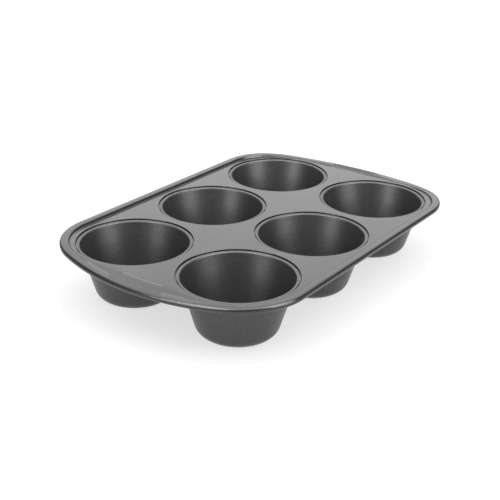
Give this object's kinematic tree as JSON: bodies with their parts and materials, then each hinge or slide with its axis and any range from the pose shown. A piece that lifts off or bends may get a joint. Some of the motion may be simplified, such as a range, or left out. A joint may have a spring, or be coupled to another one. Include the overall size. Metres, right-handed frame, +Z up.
{
  "type": "jumbo muffin pan",
  "caption": "Rectangular baking pan: deep round tapered cups set into a flat sheet deck with a raised, rolled rim and drooped end grips, for baking oversize muffins.",
  "frame": {"origin": "middle of the pan, on the plane that the cups stand on", "axes": "+X along the length of the pan, +Y across it, +Z up out of the cups"},
  "size_m": [0.3826, 0.2538, 0.0572],
  "materials": {
    "tray_coating": "satin dark grey nonstick coating on steel sheet",
    "cup_coating": "satin dark grey nonstick coating on drawn steel",
    "wire_steel": "drawn steel wire"
  },
  "bodies": {
    "root": {"tray": "tray_coating", "rim_wire": "wire_steel", "cup_left_front": "cup_coating", "cup_left_back": "cup_coating", "cup_middle_front": "cup_coating", "cup_middle_back": "cup_coating", "cup_right_front": "cup_coating", "cup_right_back": "cup_coating"}
  },
  "joints": []
}
